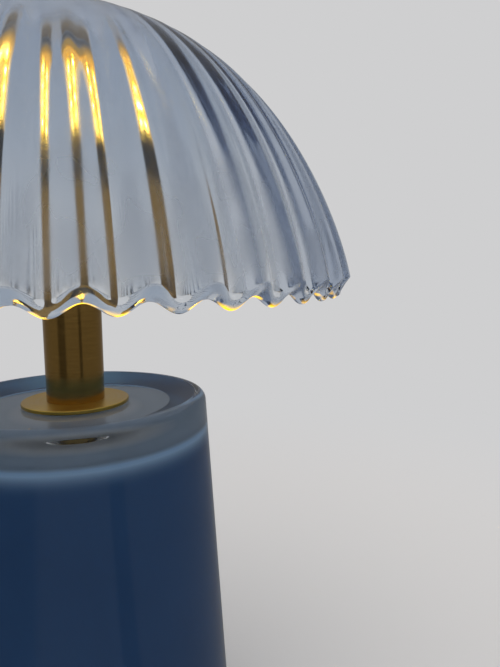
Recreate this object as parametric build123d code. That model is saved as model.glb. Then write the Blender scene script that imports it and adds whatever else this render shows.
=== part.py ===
from build123d import *
import os
from math import cos, radians, sin

# Portable table lamp: a fluted glass dome on a brass stem, over an inverted glass tumbler that holds
# the cells. Millimetres, +Z up, origin on the table under the middle of the foot.

# Clearances
fit_clearance = 0.05       # pressed, glued and threaded fits
slip_clearance = 0.3       # parts that slide or turn in each other
contact_gap = 0.3          # sprung contact, drawn just clear of what it touches

# Glass base
foot_height = 2.0          # table to the underside of the chassis
lip_thickness = 1.6        # chassis lip under the edge of the glass
glass_height = 102.6
mouth_radius = 43.0        # outside, at the open foot
base_taper = 0.059         # radius lost for each millimetre of height
base_wall = 4.0
base_roof = 7.7            # solid glass under the recess
shoulder_radius = 2.5
crest_width = 3.2          # lip between the wall and the slope of the recess
crest_radius = 1.2
recess_radius = 26.5       # flat floor, where the slope ends
recess_depth = 2.6
recess_fillet = 2.0
cavity_fillet = 5.0
mouth_fillet = 1.2

# Stem and the pipe that clamps it to the glass
flange_radius = 14.8
flange_thickness = 1.0
flange_edge = 0.3
gasket_thickness = 0.4
gasket_inset = 1.2
stem_radius = 8.0
stem_wall = 1.0
stem_length = 60.0
insert_length = 14.0
nipple_radius = 5.0
nipple_bore = 3.5
nipple_spare = 2.0         # pipe that shows past the nut, and is short of the insert's top
glass_hole_clearance = 0.6
glass_washer_radius = 11.0
glass_washer_thickness = 1.5
clamp_washer_radius = 12.0
clamp_washer_thickness = 1.5
nut_across_flats = 16.0
nut_thickness = 4.0

# Light head
holder_height = 11.6
holder_plug = 8.0
holder_inset = 0.1
lead_hole_radius = 2.2
tube_length = 21.3
tube_wall = 1.0
tube_spigot = 1.5
post_across_flats = 8.4
post_faces = 6
post_bore = 1.6
strip_width = 4.2
strip_thickness = 0.3
strip_margin = 0.4
chip_rows = 4
chip_width = 2.8
chip_height = 3.5
chip_thickness = 0.8
cap_overhang = 0.6
cap_thickness = 2.2
stud_radius = 3.0
stud_spare = 7.0           # stud above the top washer

# Glass shade
shade_radius = 77.5        # over the crowns of the flutes, at the rim
dome_height = 68.6         # rim crowns to the top of the glass
dome_round = 2.64          # exponents of the dome's curve: (r/R)^round + (z/H)^swell = 1
dome_swell = 1.33
flute_count = 44
flute_depth = 2.5          # crown to valley at the rim
flute_fade = 3.0           # power of the radius that the depth shrinks by towards the top
flute_points = 6           # steps of the curve across one flute
scallop_depth = 2.3        # rim tips below rim crowns
rim_bevel = 2.8            # edge of the rim to the lower end of the flutes
rim_flat = 0.8             # width of the rim's edge, inside the bevel
shade_wall = 5.2           # over the crowns, at the rim
shade_roof = 4.0
land_radius = 10.0         # flat round the hole
stud_hole_clearance = 0.8
dome_sections = 9
seat_washer_thickness = 1.0
seat_washer_inset = 0.4
top_washer_thickness = 0.8
top_washer_radius = 7.5

# Finial
finial_base_radius = 7.0
finial_base_height = 1.8
finial_neck_radius = 4.6
finial_neck_height = 1.2
finial_knob_radius = 6.2
finial_knob_height = 8.6
finial_knob_fillet = 3.4
finial_bore_spare = 0.8

# Chassis that plugs the foot of the glass
lip_inset = 1.2
floor_thickness = 3.0
plug_height = 12.4
plug_clearance = 0.3
plug_wall = 2.2
seal_height = 3.0
seal_depth = 1.2
seal_offset = 5.4          # lip top to the seal groove
foot_ring_inner = 33.0
foot_ring_outer = 38.5
foot_ring_seat = 1.0
foot_ring_edge = 0.5
gusset_thickness = 1.8
gusset_height = 8.0
gusset_angles = (30, 90, 150)

# Cells and the cage that holds them
cell_count = 3
cell_radius = 7.25
cell_length = 50.5
cell_nub_radius = 2.75
cell_nub_height = 1.3
cell_gap = 0.3
cage_radius = 16.8
cage_disc = 2.0
cage_pillar = 1.0
cage_rib_radius = 2.4
cage_rib_place = 13.9
contact_space = 0.6
contact_thickness = 0.5
contact_width = 5.0
terminal_radius = 6.0
return_strip_width = 3.0
return_strip_depth = 0.8

# Battery well and its twist-lock door
well_clearance = 0.4
well_wall = 1.8
well_roof = 2.0
mouth_wall = 3.0           # thicker wall round the door's lugs
mouth_wall_height = 8.0
door_radius = 21.0
door_thickness = 2.1
door_inset = 0.1
hub_cover = 0.3            # door hub above its lugs
lug_count = 3
lug_reach = 1.5
lug_thickness = 1.6
lug_width = 7.0
lug_lip = 1.3              # wall that the lugs lock behind
door_turn = 30.0           # degrees from locked to free
coin_slot_length = 16.0
coin_slot_width = 2.2
coin_slot_depth = 1.1
pad_radius = 12.0
pad_thickness = 1.3

# Board, switch and wires
board_length = 24.0
board_width = 11.5
board_thickness = 1.6
board_place = 27.5         # axis to the middle of the board, towards the front
board_lift = 7.0           # chassis floor to the underside of the board
screw_place_x = 9.4
screw_place_y = 3.0
screw_boss_radius = 2.4
screw_radius = 1.1
screw_length = 7.0
screw_head_radius = 2.0
screw_head_height = 1.4
driver_length = 5.0
driver_width = 4.0
driver_height = 1.5
driver_place = 1.0         # left of the middle of the board
coil_radius = 2.4
coil_height = 2.8
coil_place = 4.6           # right of the middle of the board
switch_length = 9.0
switch_width = 5.0
switch_height = 4.5
slider_length = 2.6
slider_width = 2.4
slider_travel = 2.5
slider_depth = 1.8         # slider inside the switch
slider_drop = 1.0          # slider below the chassis, still clear of the table
slider_grip = 0.3
lead_radius = 0.65
lead_bend = 5.0
led_lead_offset = 1.1
lead_drop_place = 24.0     # axis to where the wires run down
lead_fall = 4.0            # from the bend under the nipple to the drop
pin_radius = 0.8
pin_height = 2.0
centre_pin_place = 3.2
return_pin_place = -9.5
centre_leaf_length = 8.0
return_leaf_start = -15.0


# The dome's curve: radius at a height above the rim crowns, and height at a radius
def dome_reach(rise, radius, height):
    return radius * (1 - (rise / height) ** dome_swell) ** (1 / dome_round)


def dome_rise(reach, radius, height):
    return height * (1 - (reach / radius) ** dome_round) ** (1 / dome_swell)


# Levels worked out from the sizes above, from the table up
land_rise = dome_rise(land_radius, shade_radius, dome_height)
floor_top = foot_height + floor_thickness
glass_bottom = foot_height + lip_thickness
base_crest = glass_bottom + glass_height
recess_floor = base_crest - recess_depth
cavity_top = recess_floor - base_roof
flange_bottom = recess_floor + gasket_thickness
flange_top = flange_bottom + flange_thickness
stem_top = flange_top + stem_length
holder_top = stem_top + holder_height
cap_bottom = holder_top + tube_length
cap_top = cap_bottom + cap_thickness
seat_top = cap_top + seat_washer_thickness
land_top = seat_top + shade_roof
rim_crown = land_top - land_rise
rim_tip = rim_crown - scallop_depth
top_washer_top = land_top + top_washer_thickness
stud_top = top_washer_top + stud_spare
clamp_top = cavity_top - glass_washer_thickness
nut_top = clamp_top - clamp_washer_thickness
nut_bottom = nut_top - nut_thickness
nipple_bottom = nut_bottom - nipple_spare

# Levels of the battery well
door_bottom = foot_height + door_inset
door_top = door_bottom + door_thickness
door_seat = door_top + slip_clearance
lug_bottom = door_seat + lug_lip + slip_clearance
lug_top = lug_bottom + lug_thickness
hub_top = lug_top + hub_cover
cage_bottom = hub_top + pad_thickness + contact_gap
cell_bottom = cage_bottom + cage_disc + contact_space
cell_top = cell_bottom + cell_length
cage_top = cell_top + contact_space + cage_disc
terminal_top = cage_top + contact_thickness
roof_bottom = terminal_top + contact_gap + contact_thickness
roof_top = roof_bottom + well_roof
pin_top = roof_top + pin_height

# Levels of the board
board_bottom = floor_top + board_lift
board_top = board_bottom + board_thickness
switch_bottom = board_bottom - switch_height

# Radii that several pieces share
stem_inner = stem_radius - stem_wall
tube_inner = stem_radius - tube_wall
nipple_hole = nipple_radius + glass_hole_clearance
thread_hole = nipple_radius + fit_clearance
well_inner = cage_radius + well_clearance
well_outer = well_inner + well_wall
hub_radius = well_inner - slip_clearance
lug_radius = hub_radius + lug_reach
lug_groove = lug_radius + slip_clearance
cell_place = (2 * cell_radius + cell_gap) / (2 * sin(radians(180 / cell_count)))
post_apothem = post_across_flats / 2


def outer_radius(height):
    return mouth_radius - base_taper * (height - glass_bottom)


def cavity_radius(height):
    return outer_radius(height) - base_wall


def plug_radius(height):
    return cavity_radius(height) - plug_clearance


def turned(*points):
    """Solid of revolution about Z of a closed outline of (radius, height) points."""
    return revolve(make_face(Plane.XZ * Polyline(*points, close=True)), Axis.Z)


def turned_rounded(corners):
    """Solid of revolution about Z of (radius, height, fillet) corners."""
    face = make_face(Polyline(*[(r, z) for r, z, _ in corners], close=True))
    for r, z, size in corners:
        if size > 0:
            face = fillet(face.vertices().sort_by_distance((r, z))[0], size)
    return revolve(Plane.XZ * face, Axis.Z)


def ring(inner, outer, bottom, top):
    return turned((inner, bottom), (outer, bottom), (outer, top), (inner, top))


def rod(radius, bottom, top, x=0.0, y=0.0):
    return Pos(x, y, bottom) * extrude(Circle(radius), top - bottom)


def block(length, width, bottom, top, x=0.0, y=0.0):
    return Pos(x, y, bottom) * extrude(Rectangle(length, width), top - bottom)


def around(count, start=0.0):
    return [Rot(0, 0, start + 360 * i / count) for i in range(count)]


# Glass base and what clamps the stem to it

def make_glass_base():
    # The two fillets of the lip share its width
    return turned_rounded([
        (outer_radius(glass_bottom), glass_bottom, mouth_fillet),
        (outer_radius(base_crest), base_crest, min(shoulder_radius, 0.8 * crest_width)),
        (outer_radius(base_crest) - crest_width, base_crest, min(crest_radius, 0.4 * crest_width)),
        (recess_radius, recess_floor, recess_fillet),
        (nipple_hole, recess_floor, 0),
        (nipple_hole, cavity_top, 0),
        (cavity_radius(cavity_top), cavity_top, cavity_fillet),
        (cavity_radius(glass_bottom), glass_bottom, mouth_fillet),
    ])


def make_flange():
    return turned_rounded([
        (nipple_hole, flange_bottom, 0),
        (flange_radius, flange_bottom, 0),
        (flange_radius, flange_top, flange_edge),
        (nipple_hole, flange_top, 0),
    ])


def make_flange_gasket():
    return ring(nipple_hole, flange_radius - gasket_inset, recess_floor, flange_bottom)


def make_stem_tube():
    return ring(stem_inner, stem_radius, flange_top, stem_top)


def make_stem_insert():
    return ring(thread_hole, stem_inner - fit_clearance, flange_top, flange_top + insert_length)


def make_threaded_nipple():
    return ring(nipple_bore, nipple_radius, nipple_bottom, flange_top + insert_length - nipple_spare)


def make_glass_washer():
    return ring(thread_hole, glass_washer_radius, clamp_top, cavity_top)


def make_clamp_washer():
    return ring(thread_hole, clamp_washer_radius, nut_top, clamp_top)


def make_hex_nut():
    outline = RegularPolygon(nut_across_flats / 2, 6, major_radius=False) - Circle(thread_hole)
    return Pos(0, 0, nut_bottom) * extrude(outline, nut_thickness)


# Light head: black holder, LED post, clear tube and the cap that carries the shade

def make_led_holder():
    plug = stem_inner - fit_clearance
    body = stem_radius - holder_inset
    spigot = tube_inner - fit_clearance
    return turned(
        (lead_hole_radius, stem_top - holder_plug),
        (plug, stem_top - holder_plug),
        (plug, stem_top),
        (body, stem_top),
        (body, holder_top),
        (spigot, holder_top),
        (spigot, holder_top + tube_spigot),
        (lead_hole_radius, holder_top + tube_spigot),
    )


def make_light_tube():
    return ring(tube_inner, stem_radius, holder_top, cap_bottom)


post_bottom = holder_top + tube_spigot
post_top = cap_bottom - tube_spigot
post_length = post_top - post_bottom


def make_led_post():
    outline = RegularPolygon(post_apothem, post_faces, major_radius=False, rotation=180 / post_faces)
    return Pos(0, 0, post_bottom) * extrude(outline - Circle(post_bore), post_length)


def make_led_strips():
    place = post_apothem + strip_thickness / 2
    strip = block(strip_thickness, strip_width, post_bottom + strip_margin, post_top - strip_margin, place)
    return [turn * strip for turn in around(post_faces)]


def make_led_chips():
    pitch = post_length / chip_rows
    place = post_apothem + strip_thickness + chip_thickness / 2
    chips = []
    for row in range(chip_rows):
        low = post_bottom + pitch * (row + 0.5) - chip_height / 2
        chip = block(chip_thickness, chip_width, low, low + chip_height, place)
        chips += [turn * chip for turn in around(post_faces)]
    return chips


def make_tube_cap():
    rim = stem_radius + cap_overhang
    spigot = tube_inner - fit_clearance
    return turned(
        (0, post_top),
        (spigot, post_top),
        (spigot, cap_bottom),
        (rim, cap_bottom),
        (rim, cap_top),
        (stud_radius, cap_top),
        (stud_radius, stud_top),
        (0, stud_top),
    )


def make_shade_seat_washer():
    outer = stem_radius + cap_overhang - seat_washer_inset
    return ring(stud_radius + slip_clearance, outer, cap_top, seat_top)


# Glass shade. Its outside is a skin of flutes, each lofted through waves that rise from valley to crown and
# fade towards the top. The lowest waves lean, so that the rim is scalloped, and a bevel joins them to the
# rim's edge.

def flute_wave(crown, depth, crown_height, valley_height):
    half = 180 / flute_count
    points = []
    for i in range(flute_points + 1):
        across = 2 * i / flute_points - 1
        sunk = (1 - cos(radians(180 * across))) / 2
        reach = crown - depth * sunk
        angle = radians(half * across)
        height = crown_height + (valley_height - crown_height) * sunk
        points.append((reach * cos(angle), reach * sin(angle), height))
    turn = radians(half)
    return Spline(*points, tangents=[(sin(turn), cos(turn), 0), (-sin(turn), cos(turn), 0)])


def make_glass_shade():
    waves = []
    for i in range(dome_sections):
        share = sin(radians(90 * i / (dome_sections - 1)))
        rise = rim_bevel + (land_rise - rim_bevel) * share
        reach = dome_reach(rise, shade_radius, dome_height)
        level = rim_crown + rise
        depth = flute_depth * (reach / shade_radius) ** flute_fade
        drop = scallop_depth if i == 0 else 0
        waves.append(flute_wave(reach, depth, level, level - drop))
    edge = flute_wave(shade_radius - shade_wall + rim_flat, 0, rim_crown, rim_tip)
    flute = Shell.make_loft([Wire([wave.edge()]) for wave in waves]).faces()[0]
    bevel = Shell.make_loft([Wire([waves[0].edge()]), Wire([edge.edge()])], ruled=True).faces()[0]
    under = Shell.make_loft([Wire([edge.edge()]), Vertex(0, 0, rim_tip)]).faces()[0]
    skin = []
    for turn in around(flute_count):
        skin += [turn * flute, turn * bevel, turn * under]
    top_edges = [turn * waves[-1].edge() for turn in around(flute_count)]
    skin.append(Face(Wire(top_edges)))
    body = Solid(Shell(skin))
    return body - make_shade_hollow() - rod(stud_radius + stud_hole_clearance, rim_tip, stud_top)


def make_shade_hollow():
    """Inside of the dome: the same curve, drawn in by the wall, down to below the rim."""
    radius = shade_radius - shade_wall
    land = land_rise - shade_roof
    height = land / dome_rise(land_radius, radius, 1)
    steps = [sin(radians(90 * i / (dome_sections - 1))) for i in range(dome_sections)]
    curve = Spline(*[(dome_reach(land * s, radius, height), rim_crown + land * s) for s in steps])
    below = rim_tip - scallop_depth
    close = Polyline(curve @ 1, (0, rim_crown + land), (0, below), (radius, below), curve @ 0)
    return revolve(Plane.XZ * make_face(curve + close), Axis.Z)


def make_shade_top_washer():
    return ring(stud_radius + slip_clearance, top_washer_radius, land_top, top_washer_top)


def make_finial():
    base_top = top_washer_top + finial_base_height
    neck_top = base_top + finial_neck_height
    knob_top = neck_top + finial_knob_height
    bore = stud_radius + slip_clearance
    bore_top = stud_top + finial_bore_spare
    return turned_rounded([
        (bore, top_washer_top, 0),
        (finial_base_radius, top_washer_top, 0),
        (finial_base_radius, base_top, finial_base_height / 3),
        (finial_neck_radius, base_top, 0),
        (finial_neck_radius, neck_top, 0),
        (finial_knob_radius, neck_top, finial_knob_fillet / 3),
        (finial_knob_radius, knob_top, finial_knob_fillet),
        (0, knob_top, 0),
        (0, bore_top, 0),
        (bore, bore_top, 0),
    ])


# Chassis: a cup that plugs the foot of the glass, with a well for the cells in its middle

def board_at(x=0.0, y=0.0):
    return {"x": x, "y": y - board_place}


def make_chassis():
    plug_top = glass_bottom + plug_height
    lip_radius = mouth_radius - lip_inset
    cup = turned(
        (0, foot_height),
        (lip_radius, foot_height),
        (lip_radius, glass_bottom),
        (plug_radius(glass_bottom), glass_bottom),
        (plug_radius(plug_top), plug_top),
        (plug_radius(plug_top) - plug_wall, plug_top),
        (plug_radius(glass_bottom) - plug_wall, floor_top),
        (0, floor_top),
    )
    well = rod(well_outer, floor_top, roof_top) + rod(well_inner + mouth_wall, floor_top,
                                                      floor_top + mouth_wall_height)
    body = cup + well + make_gussets() + make_bosses()
    body -= rod(well_inner, foot_height, roof_bottom)
    body -= rod(door_radius + slip_clearance, foot_height, door_seat)
    body -= make_lug_way()
    body -= make_seal_groove()
    body -= ring(foot_ring_inner - fit_clearance, foot_ring_outer + fit_clearance,
                 foot_height, foot_height + foot_ring_seat)
    slot_length = slider_length + slider_travel + 2 * slip_clearance
    body -= block(slot_length, slider_width + 2 * slip_clearance, foot_height, floor_top, **board_at())
    for x in (centre_pin_place, return_pin_place):
        body -= rod(pin_radius + fit_clearance, roof_bottom, roof_top, x)
    for side in (-1, 1):
        hole = board_at(side * screw_place_x, -screw_place_y)
        body -= rod(screw_radius + fit_clearance, floor_top, board_bottom, **hole)
    return body


def make_gussets():
    inner = well_outer - fit_clearance
    outer = plug_radius(floor_top) - plug_wall / 2
    length = outer - inner
    web = block(length, gusset_thickness, floor_top, floor_top + gusset_height, inner + length / 2)
    return [Rot(0, 0, angle) * web for angle in gusset_angles]


def make_bosses():
    places = [board_at(side * screw_place_x, -screw_place_y) for side in (-1, 1)]
    return [rod(screw_boss_radius, floor_top, board_bottom, **place) for place in places]


def make_lug_way():
    """Groove that the lugs turn in, with a notch to let each lug in."""
    groove = ring(hub_radius, lug_groove, lug_bottom - slip_clearance, lug_top + slip_clearance)
    width = lug_width + 2 * slip_clearance
    notch = block(lug_reach + slip_clearance + lug_reach, width, door_seat, lug_top,
                  lug_groove - (lug_reach + slip_clearance + lug_reach) / 2)
    notch &= rod(lug_groove, door_seat, lug_top)
    return [groove] + [turn * notch for turn in around(lug_count, door_turn)]


seal_bottom = glass_bottom + seal_offset
seal_top = seal_bottom + seal_height


def make_seal_groove():
    reach = cavity_radius(seal_bottom)
    return turned(
        (plug_radius(seal_bottom) - seal_depth, seal_bottom),
        (reach, seal_bottom),
        (reach, seal_top),
        (plug_radius(seal_top) - seal_depth, seal_top),
    )


def make_plug_seal():
    low = seal_bottom + fit_clearance
    high = seal_top - fit_clearance
    return turned(
        (plug_radius(low) - seal_depth + fit_clearance, low),
        (cavity_radius(low) - fit_clearance, low),
        (cavity_radius(high) - fit_clearance, high),
        (plug_radius(high) - seal_depth + fit_clearance, high),
    )


def make_foot_ring():
    top = foot_height + foot_ring_seat
    return turned_rounded([
        (foot_ring_inner, 0, foot_ring_edge),
        (foot_ring_outer, 0, foot_ring_edge),
        (foot_ring_outer, top, 0),
        (foot_ring_inner, top, 0),
    ])


# Cells, cage and contacts

def make_battery_cells():
    nub_low = cell_length - cell_nub_height
    upright = rod(cell_radius, 0, nub_low) + rod(cell_nub_radius, nub_low, cell_length)
    cells = []
    for i, turn in enumerate(around(cell_count)):
        # Every second cell stands on its head, so that strips at the ends join them in a row
        pose = Pos(cell_place, 0, cell_bottom)
        if i % 2:
            pose = Pos(cell_place, 0, cell_top) * Rot(180, 0, 0)
        cells.append(turn * pose * upright)
    return cells


def make_battery_cage():
    cage = rod(cage_radius, cage_bottom, cage_bottom + cage_disc)
    cage += rod(cage_radius, cage_top - cage_disc, cage_top)
    cage += rod(cage_pillar, cage_bottom, cage_top)
    for turn in around(cell_count, 180 / cell_count):
        cage += turn * rod(cage_rib_radius, cage_bottom, cage_top, cage_rib_place)
    # Flat on one rib for the strip that brings the last cell's pole up to the top
    flat = return_strip_depth + fit_clearance
    cage -= block(flat, 2 * cage_rib_radius, cage_bottom, cage_top, -cage_radius + flat / 2)
    return cage


def make_cage_contacts():
    low = cage_bottom + cage_disc + fit_clearance
    high = cage_top - cage_disc - fit_clearance
    reach = 2 * cell_place * sin(radians(180 / cell_count))
    bridge = block(contact_width, reach, 0, contact_thickness, cell_place * cos(radians(180 / cell_count)))
    bridge -= rod(cage_pillar + fit_clearance, 0, contact_thickness)
    bridge -= rod(cage_rib_radius + fit_clearance, 0, contact_thickness, cage_rib_place)
    lower = Rot(0, 0, 180 / cell_count) * Pos(0, 0, low) * bridge
    upper = Rot(0, 0, 180) * Pos(0, 0, high - contact_thickness) * bridge
    centre = rod(terminal_radius, cage_top, terminal_top)
    strip_place = -cage_radius + return_strip_depth / 2
    strip = block(return_strip_depth, return_strip_width, cage_bottom, cage_top, strip_place)
    side_length = cage_rib_place - cage_rib_radius - terminal_radius
    side_end = -cage_radius + fit_clearance
    side = block(side_length, contact_width, cage_top, terminal_top, side_end + side_length / 2)
    side &= rod(cage_radius, cage_top, terminal_top)
    return [lower, upper, centre, strip, side]


def make_well_contacts():
    low = roof_bottom - contact_thickness
    centre = block(centre_leaf_length, contact_width, low, roof_bottom)
    centre += rod(pin_radius, low, pin_top, centre_pin_place)
    length = return_pin_place + pin_radius - return_leaf_start
    side = block(length, contact_width, low, roof_bottom, return_leaf_start + length / 2)
    side += rod(pin_radius, low, pin_top, return_pin_place)
    return [centre, side]


# Twist-lock door

def make_battery_door():
    door = rod(door_radius, door_bottom, door_top) + rod(hub_radius, door_top, hub_top)
    lug_length = lug_radius - hub_radius / 2
    lug = block(lug_length, lug_width, lug_bottom, lug_top, hub_radius / 2 + lug_length / 2)
    lug &= rod(lug_radius, lug_bottom, lug_top)
    for turn in around(lug_count):
        door += turn * lug
    return door - block(coin_slot_length, coin_slot_width, door_bottom, door_bottom + coin_slot_depth)


def make_door_pad():
    return rod(pad_radius, hub_top, hub_top + pad_thickness)


# Board, switch and wires

def make_control_board():
    board = block(board_length, board_width, board_bottom, board_top, **board_at())
    for side in (-1, 1):
        hole = board_at(side * screw_place_x, -screw_place_y)
        board -= rod(screw_radius + fit_clearance, board_bottom, board_top, **hole)
    return board


def make_board_components():
    driver_at = board_at(-driver_place, -screw_place_y)
    coil_at = board_at(coil_place, -screw_place_y)
    driver = block(driver_length, driver_width, board_top, board_top + driver_height, **driver_at)
    coil = rod(coil_radius, board_top, board_top + coil_height, **coil_at)
    return [driver, coil]


def make_board_screws():
    screws = []
    for side in (-1, 1):
        place = board_at(side * screw_place_x, -screw_place_y)
        shank = rod(screw_radius, board_top - screw_length, board_top, **place)
        screws.append(shank + rod(screw_head_radius, board_top, board_top + screw_head_height, **place))
    return screws


def make_switch_body():
    body = block(switch_length, switch_width, switch_bottom, board_bottom, **board_at())
    way_length = slider_length + slider_travel + 2 * slip_clearance
    way_top = switch_bottom + slider_depth + slip_clearance
    return body - block(way_length, slider_width + 2 * slip_clearance, switch_bottom, way_top, **board_at())


def make_switch_slider():
    place = board_at(-slider_travel / 2)
    low = foot_height - slider_drop
    slider = block(slider_length, slider_width, low, switch_bottom + slider_depth, **place)
    for x in (-slider_length / 4, slider_length / 4):
        slot = board_at(x - slider_travel / 2)
        slider -= block(slider_grip, slider_width, low, low + slider_grip, **slot)
    return slider


def make_lead(*points):
    path = FilletPolyline(*points, radius=lead_bend)
    profile = Plane(origin=path @ 0, z_dir=path % 0) * Circle(lead_radius)
    return sweep(profile, path)


def make_led_leads():
    """Wires down the pipe, out to the front midway between its end and the well, and down to the board."""
    bend = (nipple_bottom + pin_top) / 2
    leads = []
    for x in (-led_lead_offset, led_lead_offset):
        leads.append(make_lead(
            (x, 0, post_bottom),
            (x, 0, bend),
            (x, -lead_drop_place, bend - lead_fall),
            (x, -lead_drop_place, board_top),
        ))
    return leads


def make_battery_leads():
    """Wires from the sides of the pins, over the well's roof to the front, and down to the board."""
    level = pin_top - lead_radius
    leads = []
    for x in (centre_pin_place, return_pin_place):
        leads.append(make_lead(
            (x, -pin_radius, level),
            (x, -lead_drop_place, level),
            (x, -lead_drop_place, board_top),
        ))
    return leads


pieces = {
    "glass_base": make_glass_base(),
    "flange": make_flange(),
    "flange_gasket": make_flange_gasket(),
    "stem_tube": make_stem_tube(),
    "stem_insert": make_stem_insert(),
    "threaded_nipple": make_threaded_nipple(),
    "glass_washer": make_glass_washer(),
    "clamp_washer": make_clamp_washer(),
    "hex_nut": make_hex_nut(),
    "led_holder": make_led_holder(),
    "light_tube": make_light_tube(),
    "led_post": make_led_post(),
    "led_strips": make_led_strips(),
    "led_chips": make_led_chips(),
    "tube_cap": make_tube_cap(),
    "shade_seat_washer": make_shade_seat_washer(),
    "glass_shade": make_glass_shade(),
    "shade_top_washer": make_shade_top_washer(),
    "finial": make_finial(),
    "chassis": make_chassis(),
    "plug_seal": make_plug_seal(),
    "foot_ring": make_foot_ring(),
    "battery_cage": make_battery_cage(),
    "battery_cells": make_battery_cells(),
    "cage_contacts": make_cage_contacts(),
    "well_contacts": make_well_contacts(),
    "battery_door": make_battery_door(),
    "door_pad": make_door_pad(),
    "control_board": make_control_board(),
    "board_components": make_board_components(),
    "board_screws": make_board_screws(),
    "switch_body": make_switch_body(),
    "switch_slider": make_switch_slider(),
    "led_leads": make_led_leads(),
    "battery_leads": make_battery_leads(),
}

os.makedirs("parts", exist_ok=True)
for name, shape in pieces.items():
    solids = shape if isinstance(shape, list) else [shape]
    export_step(Compound(children=[s for item in solids for s in item.solids()]), f"parts/{name}.step")
print(len(pieces), "nodes written")
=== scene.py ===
import bpy
import numpy as np
from mathutils import Matrix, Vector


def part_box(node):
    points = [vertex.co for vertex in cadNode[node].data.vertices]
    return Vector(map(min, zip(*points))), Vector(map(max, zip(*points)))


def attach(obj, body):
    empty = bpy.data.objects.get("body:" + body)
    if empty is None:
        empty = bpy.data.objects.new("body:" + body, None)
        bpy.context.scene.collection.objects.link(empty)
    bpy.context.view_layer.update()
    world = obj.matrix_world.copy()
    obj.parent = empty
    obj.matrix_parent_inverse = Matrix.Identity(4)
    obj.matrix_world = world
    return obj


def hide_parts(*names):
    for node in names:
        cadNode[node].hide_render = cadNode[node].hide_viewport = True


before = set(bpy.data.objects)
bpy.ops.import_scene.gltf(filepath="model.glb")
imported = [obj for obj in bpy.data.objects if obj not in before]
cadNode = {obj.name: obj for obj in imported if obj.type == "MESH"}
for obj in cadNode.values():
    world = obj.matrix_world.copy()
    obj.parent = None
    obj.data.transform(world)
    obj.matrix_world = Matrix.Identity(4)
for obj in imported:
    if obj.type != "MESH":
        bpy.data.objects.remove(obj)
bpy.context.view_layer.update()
scene = bpy.context.scene
mm = 0.001
print("frame loaded:", len(cadNode), "nodes")


# sRGB hex to linear colour: the lower part is a straight line, the rest a power of 2.4
def linear(hexCode):
    value = np.array([int(hexCode[i:i + 2], 16) for i in (1, 3, 5)]) / 255
    value = np.where(value <= 0.04045, value / 12.92, ((value + 0.055) / 1.055) ** 2.4)
    return (*value.tolist(), 1.0)


# Adds one node: properties by name, then its inputs, where another node's output is linked and a plain value is set
def addNode(tree, kind, inputs=None, **settings):
    node = tree.nodes.new(kind)
    for name, value in settings.items():
        setattr(node, name, value)
    for name, value in (inputs or {}).items():
        if isinstance(value, bpy.types.NodeSocket):
            tree.links.new(value, node.inputs[name])
        else:
            node.inputs[name].default_value = value
    return node


# New material with these values on its main shader's own sockets
def newMaterial(name, sockets):
    material = bpy.data.materials.new(name)
    material.use_nodes = True
    shader = material.node_tree.nodes["Principled BSDF"]
    for socket, value in sockets.items():
        shader.inputs[socket].default_value = value
    return material, material.node_tree, shader


# Names a pair of values as the two ends of a range node's sockets
def ends(label, pair, unit=1.0):
    return {label + " Min": pair[0] * unit, label + " Max": pair[1] * unit}


# Profile of (radius, height, round) corners: each corner becomes an arc that touches both its sides. An arc's points
# are its centre plus the direction that turns evenly from the first touching point to the second. Normals lie to the
# right of the way along, which is outside for a loop that runs counter-clockwise. An open profile keeps its two ends.
def roundedProfile(corners, loop=True, steps=5, least=0.02):
    corners = np.array(corners, float)
    here, size = corners[:, :2], corners[:, 2].clip(least)[:, None]
    before, after = np.roll(here, 1, 0) - here, np.roll(here, -1, 0) - here
    before /= np.linalg.norm(before, axis=1, keepdims=True)
    after /= np.linalg.norm(after, axis=1, keepdims=True)
    half = np.arccos(np.clip((before * after).sum(1), -1, 1))[:, None] / 2
    middle = before + after
    middle /= np.linalg.norm(middle, axis=1, keepdims=True).clip(1e-9)
    centre = here + middle * size / np.sin(half)
    start = here + before * size / np.tan(half) - centre
    end = here + after * size / np.tan(half) - centre
    share = np.linspace(0, 1, steps + 1)[None, :, None]
    turn = (np.pi - 2 * half)[:, None]
    arc = np.sin((1 - share) * turn) * start[:, None] + np.sin(share * turn) * end[:, None]
    arc /= np.sin(turn).clip(1e-9)
    way = (1 - share) * -before[:, None] + share * after[:, None]
    bulge = np.sign((arc * np.stack([way[..., 1], -way[..., 0]], -1)).sum(-1).sum(1))[:, None, None]
    points, normals = centre[:, None] + arc, bulge * arc / np.linalg.norm(arc, axis=2, keepdims=True)
    if loop:
        return points.reshape(-1, 2), normals.reshape(-1, 2)
    points = np.vstack([here[:1], points[1:-1].reshape(-1, 2), here[-1:]])
    ends = np.array([after[0], -before[-1]])
    ends = np.stack([ends[:, 1], -ends[:, 0]], 1)
    return points, np.vstack([ends[:1], normals[1:-1].reshape(-1, 2), ends[1:]])


# Profile carried round Z: x and y are the radius times cosine and sine of the angle, z is the height
def turned(profile, count):
    angle = np.arange(count)[:, None] * 2 * np.pi / count
    radius, height = profile[None, :, 0], profile[None, :, 1]
    return np.stack([radius * np.cos(angle), radius * np.sin(angle), height + 0 * angle], -1)


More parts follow.
